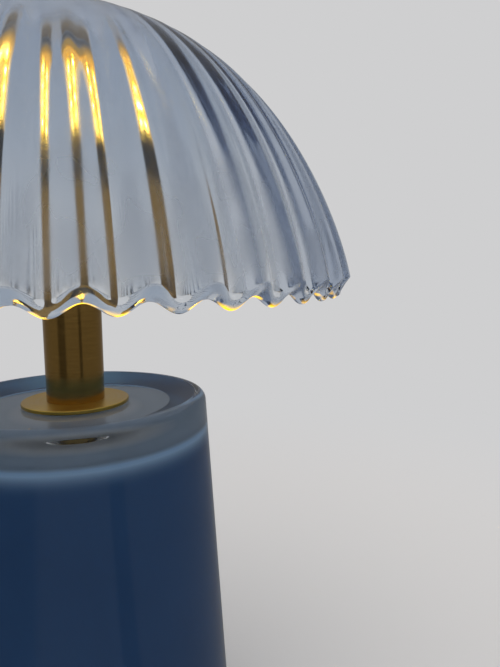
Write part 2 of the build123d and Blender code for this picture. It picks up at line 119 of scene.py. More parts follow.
# Mesh of one or more grids of points that close round their first direction, and with loop also along the second.
# A row that shrinks to a point becomes one vertex. Faces turn outwards by the sign of the enclosed volume.
def gridObject(name, points, materials, loop=True, faceSlot=None, normals=None, values=None):
    points = points[None] if points.ndim == 3 else points
    index = np.arange(points.size // 3).reshape(points.shape[:3])
    pole = np.ptp(points, axis=1).max(-1) < 1e-4
    index = np.where(pole[:, None, :], index[:, :1, :], index)
    side = np.roll(index, -1, 1)
    corner = np.stack([index, side, np.roll(side, -1, 2), np.roll(index, -1, 2)], -1)
    slot = np.zeros(corner.shape[:3], int) if faceSlot is None else np.broadcast_to(faceSlot, corner.shape[:3])
    if not loop:
        corner, slot = corner[:, :, :-1], slot[:, :, :-1]
    quad, slot = corner.reshape(-1, 4), slot.reshape(-1)
    spot = points.reshape(-1, 3) * mm
    a, b, c, d = (spot[quad[:, k]] for k in range(4))
    volume = (a * np.cross(b, c)).sum() + (a * np.cross(c, d)).sum()
    quad = quad if volume > 0 else quad[:, ::-1]
    low, high = quad[:, 0] == quad[:, 1], quad[:, 2] == quad[:, 3]
    whole = ~(low | high)
    kept, flat = np.unique(quad, return_inverse=True)
    quad = flat.reshape(quad.shape)
    faces = quad[whole].tolist() + quad[low & ~high][:, [0, 2, 3]].tolist() + quad[high & ~low][:, [0, 1, 2]].tolist()
    slot = np.concatenate([slot[whole], slot[low & ~high], slot[high & ~low]]).astype(np.int32)
    mesh = bpy.data.meshes.new(name)
    mesh.from_pydata(spot[kept].tolist(), [], faces)
    for material in materials:
        mesh.materials.append(material)
    mesh.polygons.foreach_set("material_index", slot)
    mesh.polygons.foreach_set("use_smooth", np.ones(len(faces), bool))
    mesh.update()
    if normals is not None:
        mesh.normals_split_custom_set_from_vertices(normals.reshape(-1, 3)[kept].tolist())
    for label, value in (values or {}).items():
        spread = mesh.attributes.new(label, "FLOAT", "POINT")
        spread.data.foreach_set("value", value.reshape(-1)[kept].astype(np.float32))
    piece = bpy.data.objects.new(name, mesh)
    scene.collection.objects.link(piece)
    return piece


# Turned piece from a rounded profile, with the profile's own normals carried round
def turnedObject(name, corners, materials, loop=True, count=96, steps=5, slotOf=None, values=None):
    profile, normal = roundedProfile(corners, loop, steps)
    faceSlot = None if slotOf is None else slotOf(profile)[None, None, :]
    values = {label: np.broadcast_to(value, (count, len(profile))) for label, value in (values or {}).items()}
    return gridObject(name, turned(profile, count), materials, loop, faceSlot, turned(normal, count), values)


# Puts a new piece on its body, in place of a CAD node, which it hides
def place(piece, body, node):
    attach(piece, body)
    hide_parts(node)


# Camera, fitted to the stem's edges, the rim's points and the base's crest. Turned a little round the lamp, so that a
# flute's crown falls where the picture has it. Lengths in millimetres, angles in radians.
view = {"lens": 29.93, "sensor": 36, "near": 5.0, "distance": 163.6, "height": 142.5, "yaw": 0.3108, "pitch": 0.1222,
        "roll": 0.0067, "turn": np.radians(-1.25), "bounces": {"max": 24, "glossy": 12, "transmission": 20}}
cameraData = bpy.data.cameras.new("camera")
cameraData.lens = view["lens"]
cameraData.sensor_width = view["sensor"]
cameraData.clip_start = view["near"] * mm
camera = bpy.data.objects.new("camera", cameraData)
scene.collection.objects.link(camera)
aim = Matrix.Rotation(-view["yaw"], 4, "Z") @ Matrix.Rotation(np.pi / 2 - view["pitch"], 4, "X")
stand = Matrix.Translation((0, -view["distance"] * mm, view["height"] * mm))
camera.matrix_world = Matrix.Rotation(view["turn"], 4, "Z") @ stand @ aim @ Matrix.Rotation(-view["roll"], 4, "Z")
scene.camera = camera
scene.view_settings.view_transform = "Standard"
for kind, most in view["bounces"].items():
    setattr(scene.cycles, kind + "_bounces", most)
print("camera set")


noiseSpan = (0.3, 0.7)  # Most values of a noise texture lie between these

# Pressed soda-lime glass with a smoke-blue tint that deepens where the wall is thick. Its outside is fire polished:
# clear and glossy, with slow waves. Its inside keeps the plunger's chill marks: upright streaks that blur what lies far
# behind, duller low down. One material for both sides, by the piece's own value, so that light leaves the tint where it
# leaves the glass. The tint is deeper in the gather at the top. The rim's edge has a painted glow: broken amber lines
# of colour and emission that stand in for the diodes' light running down inside the wall. Lengths in millimetres.
glassLook = {"tint": "#f7f9fa", "gather": "#dde6f0", "top": (160.0, 202.0), "ior": 1.5, "soak": "#809fc4",
             "density": 52.0, "rim": "#ffc400", "paintedRimGlowStrength": 2.2, "break": 4.0, "breakSpan": (0.46, 0.58), "wave": 9.0,
             "lift": 0.008, "gloss": 0.02, "streak": 3.4, "draw": 0.1, "streakLift": 0.009, "insideGloss": (0.26, 0.1),
             "dull": (148.0, 176.0), "uneven": (0.6, 1.4)}
shadeGlass, tree, shader = newMaterial("pressedSmokeGlass", {
    "IOR": glassLook["ior"], "Transmission Weight": 1.0, "Emission Color": linear(glassLook["rim"])})
spot = addNode(tree, "ShaderNodeTexCoord").outputs["Object"]
level = addNode(tree, "ShaderNodeSeparateXYZ", {0: spot}).outputs["Z"]
inner = addNode(tree, "ShaderNodeAttribute", attribute_name="inner").outputs["Fac"]
# The edge value places the rim's painted glow
edge = addNode(tree, "ShaderNodeAttribute", attribute_name="edge").outputs["Fac"]
# Tint by height, and the painted amber glow on the rim's edge, in broken lines
gather = addNode(tree, "ShaderNodeMapRange", {"Value": level, **ends("From", glassLook["top"], mm)},
                 interpolation_type="SMOOTHSTEP")
tint = addNode(tree, "ShaderNodeMix", {
    0: gather.outputs[0], 6: linear(glassLook["tint"]), 7: linear(glassLook["gather"])}, data_type="RGBA")
glowBreaks = addNode(tree, "ShaderNodeTexNoise", {"Vector": spot, "Scale": 1 / (glassLook["break"] * mm), "Detail": 1.0})
glowBreaks = addNode(tree, "ShaderNodeMapRange", {"Value": glowBreaks.outputs[0], **ends("From", glassLook["breakSpan"])})
edge = addNode(tree, "ShaderNodeMath", {0: edge, 1: glowBreaks.outputs[0]}, operation="MULTIPLY").outputs[0]
paintedRimGlow = addNode(tree, "ShaderNodeMath", {0: edge, 1: glassLook["paintedRimGlowStrength"]}, operation="MULTIPLY")
tint = addNode(tree, "ShaderNodeMix", {0: edge, 6: tint.outputs[2], 7: linear(glassLook["rim"])}, data_type="RGBA")
tree.links.new(tint.outputs[2], shader.inputs["Base Color"])
tree.links.new(paintedRimGlow.outputs[0], shader.inputs["Emission Strength"])
# Slow waves outside, upright streaks inside
wave = addNode(tree, "ShaderNodeTexNoise", {"Vector": spot, "Scale": 1 / (glassLook["wave"] * mm), "Detail": 1.0})
drawn = addNode(tree, "ShaderNodeMapping", {"Vector": spot, "Scale": (1.0, 1.0, glassLook["draw"])})
streak = addNode(tree, "ShaderNodeTexNoise", {
    "Vector": drawn.outputs[0], "Scale": 1 / (glassLook["streak"] * mm), "Detail": 0.0})
lift = addNode(tree, "ShaderNodeMapRange", {
    "Value": inner, **ends("To", (glassLook["lift"], glassLook["streakLift"]), mm)})
relief = addNode(tree, "ShaderNodeMix", {0: inner, 2: wave.outputs[0], 3: streak.outputs[0]})
ripple = addNode(tree, "ShaderNodeBump", {"Height": relief.outputs[0], "Distance": lift.outputs[0]})
tree.links.new(ripple.outputs[0], shader.inputs["Normal"])
# Roughness: one value outside, by height inside, uneven with the relief
within = addNode(tree, "ShaderNodeMapRange", {
    "Value": level, **ends("From", glassLook["dull"], mm), **ends("To", glassLook["insideGloss"])})
gloss = addNode(tree, "ShaderNodeMapRange", {
    "Value": inner, "To Min": glassLook["gloss"], "To Max": within.outputs[0]})
uneven = addNode(tree, "ShaderNodeMapRange", {
    "Value": relief.outputs[0], **ends("From", noiseSpan), **ends("To", glassLook["uneven"])})
polish = addNode(tree, "ShaderNodeMath", {0: gloss.outputs[0], 1: uneven.outputs[0]}, operation="MULTIPLY")
tree.links.new(polish.outputs[0], shader.inputs["Roughness"])
soak = addNode(tree, "ShaderNodeVolumeAbsorption", {
    "Color": linear(glassLook["soak"]), "Density": glassLook["density"]})
tree.links.new(soak.outputs[0], tree.nodes["Material Output"].inputs["Volume"])

# Blown glass, nearly clear, over lacquer: a wet-looking skin with slow waves. The dish's slope is flashed with a thin
# layer of blue glass and a little satin, by the piece's own value, so that the rim behind the stem looks teal.
casingLook = {"clear": "#f7f9fa", "flash": "#1a4064", "ior": 1.5, "soak": "#8fa6bb", "density": 3.0, "seed": 9.0,
              "wave": 0.006, "polish": (0.0, 0.04), "satin": 0.3}
casingGlass, tree, shader = newMaterial("blownFlashedGlass", {
    "IOR": casingLook["ior"], "Transmission Weight": 1.0, "Roughness": 0.0})
spot = addNode(tree, "ShaderNodeTexCoord").outputs["Object"]
flashed = addNode(tree, "ShaderNodeAttribute", attribute_name="flashed").outputs["Fac"]
drift = addNode(tree, "ShaderNodeTexNoise", {"Vector": spot, "Scale": 1 / (casingLook["seed"] * mm), "Detail": 1.0})
tone = addNode(tree, "ShaderNodeMix", {
    0: flashed, 6: linear(casingLook["clear"]), 7: linear(casingLook["flash"])}, data_type="RGBA")
polish = addNode(tree, "ShaderNodeMapRange", {"Value": drift.outputs[0], **ends("To", casingLook["polish"])})
satin = addNode(tree, "ShaderNodeMath", {0: flashed, 1: casingLook["satin"], 2: polish.outputs[0]},
                operation="MULTIPLY_ADD")
ripple = addNode(tree, "ShaderNodeBump", {"Height": drift.outputs[0], "Distance": casingLook["wave"] * mm})
tree.links.new(tone.outputs[2], shader.inputs["Base Color"])
tree.links.new(satin.outputs[0], shader.inputs["Roughness"])
tree.links.new(ripple.outputs[0], shader.inputs["Normal"])
soak = addNode(tree, "ShaderNodeVolumeAbsorption", {
    "Color": linear(casingLook["soak"]), "Density": casingLook["density"]})
tree.links.new(soak.outputs[0], tree.nodes["Material Output"].inputs["Volume"])

# Blue lacquer, sprayed on the inside of the glass: deep with faint cloudy drifts on the wall, and brighter towards the
# round corner above it. Under the roof it is a pale grey-blue, painted light that falls in from above, and paler still
# round the hole, painted light that takes the flange's shade away. Each tone comes in over a span of heights or radii
# in millimetres, by a power of it.
lacquerLook = {"deep": "#325583", "pale": "#3a5f8e", "cloud": 26.0, "roughness": 0.4,
               "corner": {"tone": "#b6dbff", "span": (86.7, 94.75), "curve": 6.0},
               # Roof: a pale tone, painted light from above
               "roof": {"tone": "#9fb2c6", "span": (95.3, 95.9), "curve": 1.0},
               # Seat: paler round the hole, painted light in place of the flange's shade
               "seat": {"tone": "#e6edf4", "span": (19.0, 12.0), "curve": 1.0}}
blueLacquer, tree, shader = newMaterial("sprayedBlueLacquer", {
    "Roughness": lacquerLook["roughness"], "Specular IOR Level": 0.0})
spot = addNode(tree, "ShaderNodeTexCoord").outputs["Object"]
level = addNode(tree, "ShaderNodeSeparateXYZ", {0: spot}).outputs["Z"]
flat = addNode(tree, "ShaderNodeVectorMath", {0: spot, 1: (1.0, 1.0, 0.0)}, operation="MULTIPLY")
reach = addNode(tree, "ShaderNodeVectorMath", {0: flat.outputs[0]}, operation="LENGTH").outputs["Value"]
cloud = addNode(tree, "ShaderNodeTexNoise", {"Vector": spot, "Scale": 1 / (lacquerLook["cloud"] * mm), "Detail": 4.0})
tone = addNode(tree, "ShaderNodeMix", {
    0: cloud.outputs[0], 6: linear(lacquerLook["deep"]), 7: linear(lacquerLook["pale"])}, data_type="RGBA")
# Corner, roof and seat tones in turn; the roof's and the seat's are painted light
for coat, along in (("corner", level), ("roof", level), ("seat", reach)):
    coat = lacquerLook[coat]
    share = addNode(tree, "ShaderNodeMapRange", {"Value": along, **ends("From", coat["span"], mm)})
    share = addNode(tree, "ShaderNodeMath", {0: share.outputs[0], 1: coat["curve"]}, operation="POWER")
    tone = addNode(tree, "ShaderNodeMix", {0: share.outputs[0], 6: tone.outputs[2], 7: linear(coat["tone"])},
                   data_type="RGBA")
tree.links.new(tone.outputs[2], shader.inputs["Base Color"])

# Turned brass, brushed round the axis and lacquered: fine rings that smear highlights up and down the stem. The lines
# are drawn 0.5 mm apart, coarser than the real 0.1 mm, so that they show. The flange and cap get a yellower, brighter
# brass: painted light from the diodes falling on them. The cap also has a painted amber glow for the diodes' light
# below it and the dome's over it.
brassLook = {"draw": 0.75, "drawTurn": 0.25, "line": 0.5, "sway": 0.8, "cut": 0.001, "kinds": {
    "brushedBrass": {"low": "#aa8544", "high": "#b99252", "shine": (0.12, 0.2)},
    # Flange: yellower, brighter brass, painted light from the diodes
    "brassUnderPaintedLight": {"low": "#cda64a", "high": "#dab45a", "shine": (0.28, 0.38)},
    # Cap: the same painted light, and a painted amber glow from the diodes below and the dome above
    "brassUnderPaintedLightAndGlow": {"low": "#cda64a", "high": "#dab45a", "shine": (0.28, 0.38), "paintedGlow": "#ffb400",
                      "paintedGlowStrength": 0.28}}}


# One kind of brass: a noise read along height plus radius, with a slight sway round the axis, gives the brushed lines
def makeBrass(name, look):
    sockets = {"Metallic": 1.0, "Anisotropic": brassLook["draw"], "Anisotropic Rotation": brassLook["drawTurn"]}
    # A painted glow: emission that stands in for light falling on the piece
    if "paintedGlow" in look:
        sockets.update({"Emission Color": linear(look["paintedGlow"]), "Emission Strength": look["paintedGlowStrength"]})
    made, tree, shader = newMaterial(name, sockets)
    rings = addNode(tree, "ShaderNodeTangent", direction_type="RADIAL", axis="Z")
    tree.links.new(rings.outputs[0], shader.inputs["Tangent"])
    spot = addNode(tree, "ShaderNodeTexCoord").outputs["Object"]
    level = addNode(tree, "ShaderNodeSeparateXYZ", {0: spot}).outputs["Z"]
    flat = addNode(tree, "ShaderNodeVectorMath", {0: spot, 1: (1.0, 1.0, 0.0)}, operation="MULTIPLY")
    reach = addNode(tree, "ShaderNodeVectorMath", {0: flat.outputs[0]}, operation="LENGTH")
    heading = addNode(tree, "ShaderNodeVectorMath", {0: flat.outputs[0]}, operation="NORMALIZE")
    along = addNode(tree, "ShaderNodeMath", {0: level, 1: reach.outputs["Value"]}, operation="ADD")
    path = addNode(tree, "ShaderNodeCombineXYZ", {"Z": along.outputs[0]})
    sway = addNode(tree, "ShaderNodeVectorMath", {0: heading.outputs[0], "Scale": brassLook["sway"] * mm},
                   operation="SCALE")
    line = addNode(tree, "ShaderNodeVectorMath", {0: path.outputs[0], 1: sway.outputs[0]}, operation="ADD")
    brushed = addNode(tree, "ShaderNodeTexNoise", {
        "Vector": line.outputs[0], "Scale": 1 / (brassLook["line"] * mm), "Detail": 3.0})
    tone = addNode(tree, "ShaderNodeMix", {
        0: brushed.outputs[0], 6: linear(look["low"]), 7: linear(look["high"])}, data_type="RGBA")
    shine = addNode(tree, "ShaderNodeMapRange", {
        "Value": brushed.outputs[0], **ends("From", noiseSpan), **ends("To", look["shine"])})
    cut = addNode(tree, "ShaderNodeBump", {"Height": brushed.outputs[0], "Distance": brassLook["cut"] * mm})
    tree.links.new(tone.outputs[2], shader.inputs["Base Color"])
    tree.links.new(shine.outputs[0], shader.inputs["Roughness"])
    tree.links.new(cut.outputs[0], shader.inputs["Normal"])
    return made


brass, paintedLightBrass, paintedGlowBrass = (makeBrass(name, look) for name, look in brassLook["kinds"].items())

# Extruded acrylic tube, clear and polished, with faint draw lines along its length. It has a painted glow: a little
# amber emission that stands in for the diodes' light caught at its edge.
acrylicLook = {"tint": "#fffdf8", "ior": 1.49, "roughness": 0.02, "draw": 1.2, "stretch": 0.03, "wave": 0.004,
               "glow": "#ffc400", "strength": 0.2}
acrylic, tree, shader = newMaterial("extrudedClearAcrylic", {
    "Base Color": linear(acrylicLook["tint"]), "IOR": acrylicLook["ior"], "Transmission Weight": 1.0,
    "Roughness": acrylicLook["roughness"], "Emission Color": linear(acrylicLook["glow"]),
    "Emission Strength": acrylicLook["strength"]})
spot = addNode(tree, "ShaderNodeTexCoord").outputs["Object"]
drawn = addNode(tree, "ShaderNodeMapping", {"Vector": spot, "Scale": (1.0, 1.0, acrylicLook["stretch"])})
draw = addNode(tree, "ShaderNodeTexNoise", {"Vector": drawn.outputs[0], "Scale": 1 / (acrylicLook["draw"] * mm)})
ripple = addNode(tree, "ShaderNodeBump", {"Height": draw.outputs[0], "Distance": acrylicLook["wave"] * mm})
tree.links.new(ripple.outputs[0], shader.inputs["Normal"])

# Warm phosphor over the diode: white-hot round the die and amber at the edges, from the piece's own glow value
ledLook = {"resin": "#e8b040", "roughness": 0.35, "core": "#fff0b0", "edge": "#ffd000", "strength": (0.65, 60.0)}
phosphor, tree, shader = newMaterial("warmLedPhosphor", {
    "Base Color": linear(ledLook["resin"]), "Roughness": ledLook["roughness"]})
glow = addNode(tree, "ShaderNodeAttribute", attribute_name="glow").outputs["Fac"]
tone = addNode(tree, "ShaderNodeMix", {0: glow, 6: linear(ledLook["edge"]), 7: linear(ledLook["core"])},
               data_type="RGBA")
power = addNode(tree, "ShaderNodeMapRange", {"Value": glow, **ends("To", ledLook["strength"])})
tree.links.new(tone.outputs[2], shader.inputs["Emission Color"])
tree.links.new(power.outputs[0], shader.inputs["Emission Strength"])
print("glass, brass and light materials made")

# Finishes of the remaining nodes, sizes in millimetres: two tones in patches, a roughness range, a grain and its depth
finishes = {
    # Anodised aluminium, bead blasted: soft black with a faint sparkle
    "blackAnodised": {"low": "#0c0c0d", "high": "#171616", "metallic": 0.0, "shine": (0.3, 0.42), "patch": 3.0,
                      "grain": 0.25, "depth": 0.006},
    # ABS moulded in a spark-eroded tool: even fine pebbling that kills the gloss
    "sparkErodedAbs": {"low": "#14171d", "high": "#1b1f27", "metallic": 0.0, "shine": (0.5, 0.64), "patch": 14.0,
                       "grain": 0.6, "depth": 0.03},
    # Nitrile rubber, compression moulded: dull black with a greyish bloom
    "mouldedRubber": {"low": "#101010", "high": "#1d1c1b", "metallic": 0.0, "shine": (0.62, 0.8), "patch": 5.0,
                      "grain": 0.9, "depth": 0.02},
    # Silicone, moulded: milky and slightly greasy in its shine
    "mouldedSilicone": {"low": "#b9bcc0", "high": "#cfd1d3", "metallic": 0.0, "shine": (0.32, 0.45), "patch": 4.0,
                        "grain": 1.5, "depth": 0.01},
    # Zinc-plated steel: pale grey with a blue and yellow passivation drift
    "zincPlatedSteel": {"low": "#a3a6ad", "high": "#b9b6a6", "metallic": 1.0, "shine": (0.25, 0.42), "patch": 3.0,
                        "grain": 0.4, "depth": 0.008},
    # Zinc-plated steel with yellow passivation: a golden sheen that drifts towards green
    "yellowZincSteel": {"low": "#b08f3e", "high": "#cfae62", "metallic": 1.0, "shine": (0.22, 0.36), "patch": 2.5,
                        "grain": 0.4, "depth": 0.008},
    # Nickel-plated spring strip: warm silver with rolling lines
    "nickelPlatedStrip": {"low": "#b3aea2", "high": "#c8c4b8", "metallic": 1.0, "shine": (0.18, 0.3), "patch": 2.0,
                          "grain": 0.3, "depth": 0.004},
    # Polypropylene, moulded: waxy black with flow marks
    "mouldedPolypropylene": {"low": "#1b1b1c", "high": "#262627", "metallic": 0.0, "shine": (0.4, 0.55), "patch": 8.0,
                             "grain": 1.2, "depth": 0.02},
    # PVC shrink sleeve on the cells: glossy graphite with slight orange peel
    "shrinkSleeve": {"low": "#3a3e45", "high": "#474c54", "metallic": 0.3, "shine": (0.2, 0.32), "patch": 10.0,
                     "grain": 1.6, "depth": 0.02},
    # Closed-cell foam, cut from sheet: open pores on a dull dark face
    "cutFoam": {"low": "#191919", "high": "#2b2b2b", "metallic": 0.0, "shine": (0.8, 0.95), "patch": 1.2,
                "grain": 0.7, "depth": 0.2},
    # Glass-fibre board with green solder mask: glossy, with the weave just showing
    "solderMaskedBoard": {"low": "#0c3a22", "high": "#12492c", "metallic": 0.0, "shine": (0.2, 0.35), "patch": 1.5,
                          "grain": 0.8, "depth": 0.02},
    # Epoxy moulding compound: dull charcoal with a fine grit
    "mouldedEpoxy": {"low": "#17181a", "high": "#212326", "metallic": 0.0, "shine": (0.45, 0.6), "patch": 2.0,
                     "grain": 0.3, "depth": 0.01},
    # PVC wire insulation: soft satin red
    "extrudedPvc": {"low": "#7d1712", "high": "#8f1f18", "metallic": 0.0, "shine": (0.35, 0.48), "patch": 3.0,
                    "grain": 0.5, "depth": 0.006},
    # Aluminium, extruded: satin grey with die lines along the post
    "extrudedAluminium": {"low": "#b7b9bd", "high": "#cacccf", "metallic": 1.0, "shine": (0.28, 0.42), "patch": 2.5,
                          "grain": 0.3, "depth": 0.006},
}


# Finish of one entry above: one noise mixes the two tones and sets the roughness, a finer one stands up as the grain
def grainedMaterial(name, look):
    material, tree, shader = newMaterial(name, {"Metallic": look["metallic"]})
    spot = addNode(tree, "ShaderNodeTexCoord").outputs["Object"]
    patch = addNode(tree, "ShaderNodeTexNoise", {"Vector": spot, "Scale": 1 / (look["patch"] * mm), "Detail": 3.0})
    grain = addNode(tree, "ShaderNodeTexNoise", {"Vector": spot, "Scale": 1 / (look["grain"] * mm), "Detail": 2.0})
    tone = addNode(tree, "ShaderNodeMix", {0: patch.outputs[0], 6: linear(look["low"]), 7: linear(look["high"])},
                   data_type="RGBA")
    shine = addNode(tree, "ShaderNodeMapRange", {
        "Value": patch.outputs[0], **ends("From", noiseSpan), **ends("To", look["shine"])})
    bump = addNode(tree, "ShaderNodeBump", {"Height": grain.outputs[0], "Distance": look["depth"] * mm})
    tree.links.new(tone.outputs[2], shader.inputs["Base Color"])
    tree.links.new(shine.outputs[0], shader.inputs["Roughness"])
    tree.links.new(bump.outputs[0], shader.inputs["Normal"])
    return material


finish = {name: grainedMaterial(name, look) for name, look in finishes.items()}

# White solder mask on the light strips, with a painted amber glow that stands in for the light of the diodes beside it
maskLook = {"low": "#efe6cf", "high": "#f8f2e4", "roughness": 0.4, "paintedGlow": "#ffc800", "strength": 0.5, "patch": 1.5}
maskWithPaintedGlow, tree, shader = newMaterial("solderMaskPaintedGlow", {
    "Roughness": maskLook["roughness"], "Emission Color": linear(maskLook["paintedGlow"]),
    "Emission Strength": maskLook["strength"]})
spot = addNode(tree, "ShaderNodeTexCoord").outputs["Object"]
patch = addNode(tree, "ShaderNodeTexNoise", {"Vector": spot, "Scale": 1 / (maskLook["patch"] * mm)})
tone = addNode(tree, "ShaderNodeMix", {0: patch.outputs[0], 6: linear(maskLook["low"]), 7: linear(maskLook["high"])},
               data_type="RGBA")
tree.links.new(tone.outputs[2], shader.inputs["Base Color"])

nodeFinish = {
    "flange_gasket": "mouldedRubber", "glass_washer": "mouldedRubber", "foot_ring": "mouldedRubber",
    "shade_seat_washer": "mouldedSilicone", "shade_top_washer": "mouldedSilicone", "plug_seal": "mouldedSilicone",
    "threaded_nipple": "yellowZincSteel", "clamp_washer": "zincPlatedSteel", "hex_nut": "zincPlatedSteel",
    "board_screws": "zincPlatedSteel", "cage_contacts": "nickelPlatedStrip", "well_contacts": "nickelPlatedStrip",
    "chassis": "sparkErodedAbs", "battery_door": "sparkErodedAbs", "battery_cage": "mouldedPolypropylene",
    "battery_cells": "shrinkSleeve", "door_pad": "cutFoam", "control_board": "solderMaskedBoard",
    "board_components": "mouldedEpoxy", "switch_body": "mouldedEpoxy", "switch_slider": "mouldedEpoxy",
    "led_leads": "extrudedPvc", "battery_leads": "extrudedPvc", "led_post": "extrudedAluminium",
}
nodeMaterial = {node: finish[name] for node, name in nodeFinish.items()}
nodeMaterial.update({"stem_insert": brass, "led_strips": maskWithPaintedGlow})
for node, material in nodeMaterial.items():
    for slot in cadNode[node].material_slots:
        slot.material = material
print("finishes given to", len(nodeMaterial), "nodes")


# Shade: a dome whose crowns follow (radius / reach)^round + (rise / height)^swell = 1, with 44 wavy flutes and
# a bevelled, scalloped rim. The scallop dies out over a share of the wall. Lengths in millimetres.
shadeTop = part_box("glass_shade")[1].z / mm
shade = {"radius": 77.5, "height": 68.6, "round": 2.64, "swell": 1.33, "rim": shadeTop - 68.37, "landTop": shadeTop,
         "landRadius": 10.0, "landRings": (6.5, 9.0), "roof": 4.0, "wall": 5.2, "hole": 3.8, "flutes": 44,
         "fluteDepth": 3.0, "vary": 0.05, "fade": 4.0, "bevel": 2.8, "edge": 1.1, "bulge": 0.3, "scallop": 2.3,
         "dies": 0.22, "diesInside": 0.3, "perFlute": 20, "wallRows": 44, "insideRows": 28, "bevelRows": 9,
         "edgeRows": 13, "closeRows": (0.003, 0.06), "glowAt": -1.2, "glowSpread": 0.55, "seed": 11,
         "chill": {"size": 0.025, "waves": 14, "pitch": (5, 34), "calm": 6, "climb": 0.22, "fadeIn": 4, "fadeOut": 5}}
chill = shade["chill"]


# Dome's radius at a rise above the rim, for an outside or inside reach and height
def domeRadius(rise, reach, height):
    return reach * (1 - (np.clip(rise, 0, height) / height) ** shade["swell"]) ** (1 / shade["round"])


# Flute across: a cosine wave from the crown down to the valleys at both sides
def fluteRadius(crown, depth, across):
    return crown - depth * (1 - np.cos(np.pi * across)) / 2


# Chill waves inside: a sum of slow sines in angle and height with fixed random pitch, climb and phase
def chillWaves(angle, height):
    rng = np.random.default_rng(shade["seed"])
    pitch = rng.integers(*chill["pitch"], chill["waves"])[:, None, None]
    climb = rng.uniform(-chill["climb"], chill["climb"], chill["waves"])[:, None, None]
    phase = rng.uniform(0, 2 * np.pi, chill["waves"])[:, None, None]
    size = chill["size"] * chill["calm"] / (pitch + chill["calm"])
    return (size * np.sin(pitch * angle + climb * height + phase)).sum(0)


# Shade's grid: rings of points round the axis, each from the land down the outside, over the bevel and the round edge
# and up the inside, with its values for the inside and for where the edge's painted glow goes
def makeShade():
    count = shade["flutes"]
    across = np.linspace(-1, 1, shade["perFlute"] + 1)[:-1]
    angle = ((np.arange(count)[:, None] + across[None] / 2) * 2 * np.pi / count).reshape(-1, 1)
    across = np.tile(across, count)[:, None]
    rng = np.random.default_rng(shade["seed"] + 1)
    deep = np.repeat(1 + shade["vary"] * rng.standard_normal(count), shade["perFlute"])[:, None]
    dip = shade["scallop"] * (1 - np.cos(np.pi * across)) / 2
    landRise = shade["landTop"] - shade["rim"]
    # Outside, from the land down to the bevel, with one row close to its end that keeps the corner crisp
    share = np.append(np.linspace(1, 0, shade["wallRows"])[:-1], (shade["closeRows"][0], 0))[None]
    rise = shade["bevel"] + (landRise - shade["bevel"]) * np.sin(share * np.pi / 2)
    rise = rise - dip * np.clip(1 - share / shade["dies"], 0, 1) ** 2
    crown = domeRadius(np.maximum(rise, shade["bevel"] / 2), shade["radius"], shade["height"])
    outer = fluteRadius(crown, shade["fluteDepth"] * deep * (crown / shade["radius"]) ** shade["fade"], across)
    outerZ = shade["rim"] + rise
    # Bevel, from the flutes' lower end to where it touches the rim's round edge, slightly bowed, with a close row too
    inside = shade["radius"] - shade["wall"]
    share = np.append(shade["closeRows"][1], np.linspace(0, 1, shade["bevelRows"])[1:])[None]
    middleR, middleZ = inside + shade["edge"], shade["rim"] - dip + shade["edge"]
    startR, startZ = outer[:, -1:], outerZ[:, -1:]
    touch = np.arctan2(startZ - middleZ, startR - middleR)
    touch = touch - np.arccos(shade["edge"] / np.hypot(startZ - middleZ, startR - middleR))
    bow = shade["bulge"] * np.sin(np.pi * share)
    bevelR = startR + (middleR + shade["edge"] * np.cos(touch) - startR) * share + bow * np.cos(touch)
    bevelZ = startZ + (middleZ + shade["edge"] * np.sin(touch) - startZ) * share + bow * np.sin(touch)
    # Round edge, from the bevel under to the inside wall
    sweep = touch + (-np.pi - touch) * np.linspace(0, 1, shade["edgeRows"])[None, 1:]
    roundR = middleR + shade["edge"] * np.cos(sweep)
    roundZ = middleZ + shade["edge"] * np.sin(sweep)
    # Inside wall, up to the inner land
    innerLand = landRise - shade["roof"]
    innerHeight = innerLand / (1 - (shade["landRadius"] / inside) ** shade["round"]) ** (1 / shade["swell"])
    share = np.linspace(0, 1, shade["insideRows"])[None, 1:]
    settle = np.clip(1 - share / shade["diesInside"], 0, 1) ** 2
    innerRise = innerLand * np.sin(share * np.pi / 2) + (shade["edge"] - dip) * settle
    fade = np.clip(chill["fadeIn"] * share, 0, 1) * np.clip(chill["fadeOut"] * (1 - share), 0, 1)
    innerR = domeRadius(innerRise, inside, innerHeight) + chillWaves(angle, innerRise) * fade
    innerZ = shade["rim"] + innerRise
    # Land and hole at the top
    landR = np.array([shade["hole"], shade["hole"], *shade["landRings"]])[None] + 0 * angle
    landZ = np.array([shade["landTop"] - shade["roof"], *[shade["landTop"]] * 3])[None] + 0 * angle
    radius = np.hstack([landR, outer, bevelR, roundR, innerR])
    height = np.hstack([landZ, outerZ, bevelZ, roundZ, innerZ])
    within = np.arange(radius.shape[1]) >= radius.shape[1] - innerR.shape[1]
    # Edge value for the painted rim glow: a bell curve round the lowest line of the round edge
    bell = np.exp(-((sweep - shade["glowAt"]) / shade["glowSpread"]) ** 2)
    lowest = np.hstack([0 * landR, 0 * outer, 0 * bevelR, bell, 0 * innerR])
    points = np.stack([radius * np.cos(angle), radius * np.sin(angle), height], -1)
    return points, {"inner": within + 0 * radius, "edge": lowest}


shadePoints, shadeValues = makeShade()
shadePiece = gridObject("fluted_shade", shadePoints, [shadeGlass], values=shadeValues)
place(shadePiece, "shade", "glass_shade")
print("shade made:", len(shadePiece.data.polygons), "faces")


